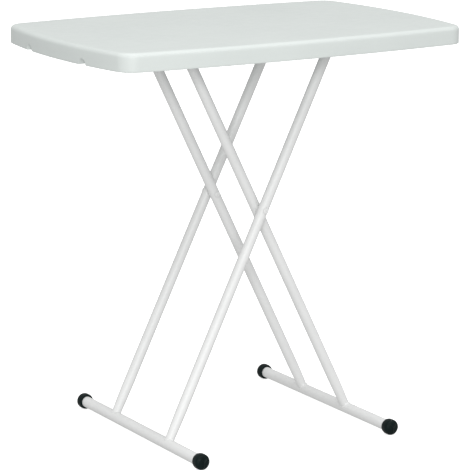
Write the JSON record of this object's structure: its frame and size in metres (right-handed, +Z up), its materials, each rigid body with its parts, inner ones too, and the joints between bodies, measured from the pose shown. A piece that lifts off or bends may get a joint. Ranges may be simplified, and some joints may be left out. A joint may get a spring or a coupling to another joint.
{
  "type": "folding tray table",
  "caption": "Rectangular moulded resin top with bowed sides on two crossed tube frames with capped foot bars; the frames scissor flat under the top.",
  "frame": {"origin": "on the floor under the middle of the top", "axes": "+X along the top's long side, +Y towards the rear, +Z up; the outer frame stands at -X and the inner frame at +X"},
  "size_m": [0.76, 0.5, 0.77],
  "materials": {
    "top_resin": "cool light grey, fine-grained blow-moulded resin",
    "frame_paint": "off-white powder coat, satin",
    "cap_rubber": "black moulded rubber",
    "runner_nylon": "black nylon",
    "rail_aluminium": "plain extruded",
    "screw_zinc": "bright zinc plate"
  },
  "bodies": {
    "top": {"table_top": "top_resin", "blow_hole_plug": "top_resin", "rail_front": "rail_aluminium", "rail_rear": "rail_aluminium", "rail_screw_1": "screw_zinc", "rail_screw_2": "screw_zinc", "rail_screw_3": "screw_zinc", "rail_screw_4": "screw_zinc", "rail_screw_5": "screw_zinc", "rail_screw_6": "screw_zinc", "rail_screw_7": "screw_zinc", "rail_screw_8": "screw_zinc"},
    "inner_runner": {"inner_runner_front": "runner_nylon", "inner_runner_rear": "runner_nylon"},
    "inner_frame": {"inner_leg_front": "frame_paint", "inner_leg_rear": "frame_paint", "inner_leg_plug_front": "runner_nylon", "inner_leg_plug_rear": "runner_nylon", "inner_top_bar": "frame_paint", "inner_foot_tube": "frame_paint", "inner_foot_cap_front": "cap_rubber", "inner_foot_cap_rear": "cap_rubber", "pivot_rivet_front": "frame_paint", "pivot_rivet_rear": "frame_paint", "pivot_spacer_front": "frame_paint", "pivot_spacer_rear": "frame_paint"},
    "outer_frame": {"outer_leg_front": "frame_paint", "outer_leg_rear": "frame_paint", "outer_leg_plug_front": "runner_nylon", "outer_leg_plug_rear": "runner_nylon", "outer_top_bar": "frame_paint", "outer_foot_tube": "frame_paint", "outer_foot_cap_front": "cap_rubber", "outer_foot_cap_rear": "cap_rubber"},
    "outer_runner": {"outer_runner_front": "runner_nylon", "outer_runner_rear": "runner_nylon"}
  },
  "joints": [
    {"name": "inner_slide", "type": "slide", "parent": "top", "child": "inner_runner", "axis": [-1, 0, 0], "range_m": [0, 0.215]},
    {"name": "fold", "type": "hinge", "parent": "inner_runner", "child": "inner_frame", "pos_m": [-0.13759, 0, 0.7491], "axis": [0, -1, 0], "range_deg": [0, 63.7]},
    {"name": "pivot", "type": "hinge", "parent": "inner_frame", "child": "outer_frame", "pos_m": [0, 0, 0.43531], "axis": [0, 1, 0], "range_deg": [0, 127.5]},
    {"name": "outer_swivel", "type": "hinge", "parent": "outer_frame", "child": "outer_runner", "pos_m": [0.13759, 0, 0.7491], "axis": [0, -1, 0], "range_deg": [0, 63.8]}
  ],
  "couplings": [
    {"joint": "inner_slide", "follows": "fold", "m_per_rad": 0.193},
    {"joint": "pivot", "follows": "fold", "ratio": 2},
    {"joint": "outer_swivel", "follows": "fold", "ratio": 1}
  ]
}
